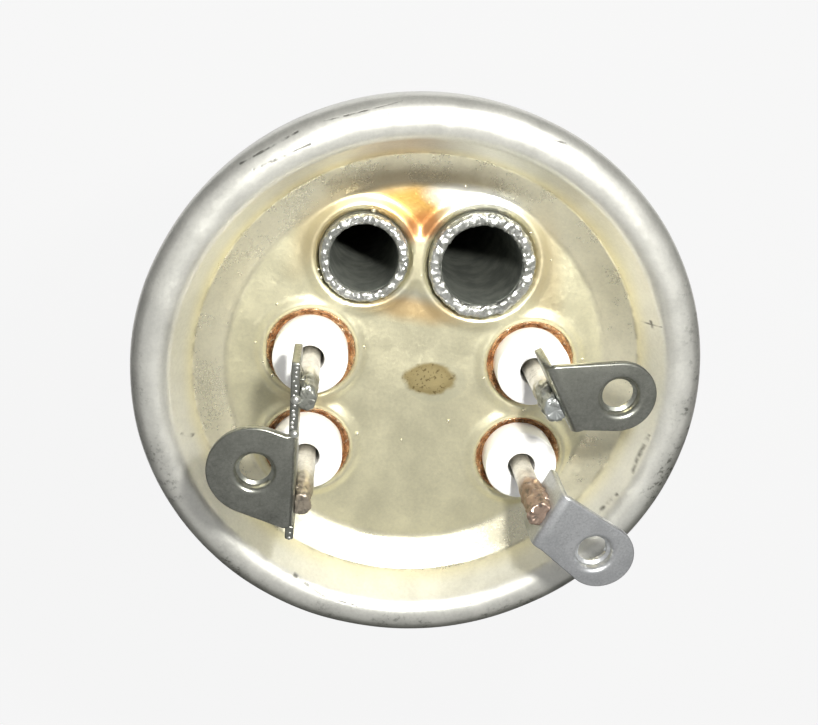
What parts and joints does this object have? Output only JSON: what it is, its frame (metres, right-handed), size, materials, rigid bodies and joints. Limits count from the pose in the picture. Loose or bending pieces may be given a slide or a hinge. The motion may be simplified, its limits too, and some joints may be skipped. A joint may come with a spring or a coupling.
{
  "type": "water heater element",
  "caption": "Round pressed flange with U-shaped heater loops, closed sensor wells, ceramic-insulated pins and screw terminals, for heating the water in a storage tank.",
  "frame": {"origin": "on the flange axis, in the plane of the rolled rim's lower edge", "axes": "+Z along the flange axis out of the tank, towards the terminals; +X from the small well's side to the large well's side; +Y towards the wells"},
  "size_m": [0.064, 0.064, 0.258],
  "materials": {
    "flange": "satin",
    "well": "satin",
    "weld": "rough",
    "sheath": "satin",
    "coil": "matt",
    "filling": "matt",
    "braze": "glossy",
    "bush": "matt",
    "seal": "matt",
    "pin": "satin",
    "terminal": "satin",
    "boss": "satin"
  },
  "bodies": {
    "root": {"flange_plate": "flange", "small_well": "well", "large_well": "well", "small_well_weld": "weld", "large_well_weld": "weld", "long_sheath": "sheath", "short_sheath": "sheath", "long_coil": "coil", "short_coil": "coil", "long_filling": "filling", "short_filling": "filling", "braze_upper_left": "braze", "bush_upper_left": "bush", "seal_upper_left": "seal", "pin_upper_left": "pin", "braze_upper_right": "braze", "bush_upper_right": "bush", "seal_upper_right": "seal", "pin_upper_right": "pin", "braze_lower_left": "braze", "bush_lower_left": "bush", "seal_lower_left": "seal", "pin_lower_left": "pin", "braze_lower_right": "braze", "bush_lower_right": "bush", "seal_lower_right": "seal", "pin_lower_right": "pin", "bridge_terminal": "terminal", "tab_upper_right": "terminal", "tab_lower_right": "terminal", "anode_boss": "boss"}
  },
  "joints": []
}
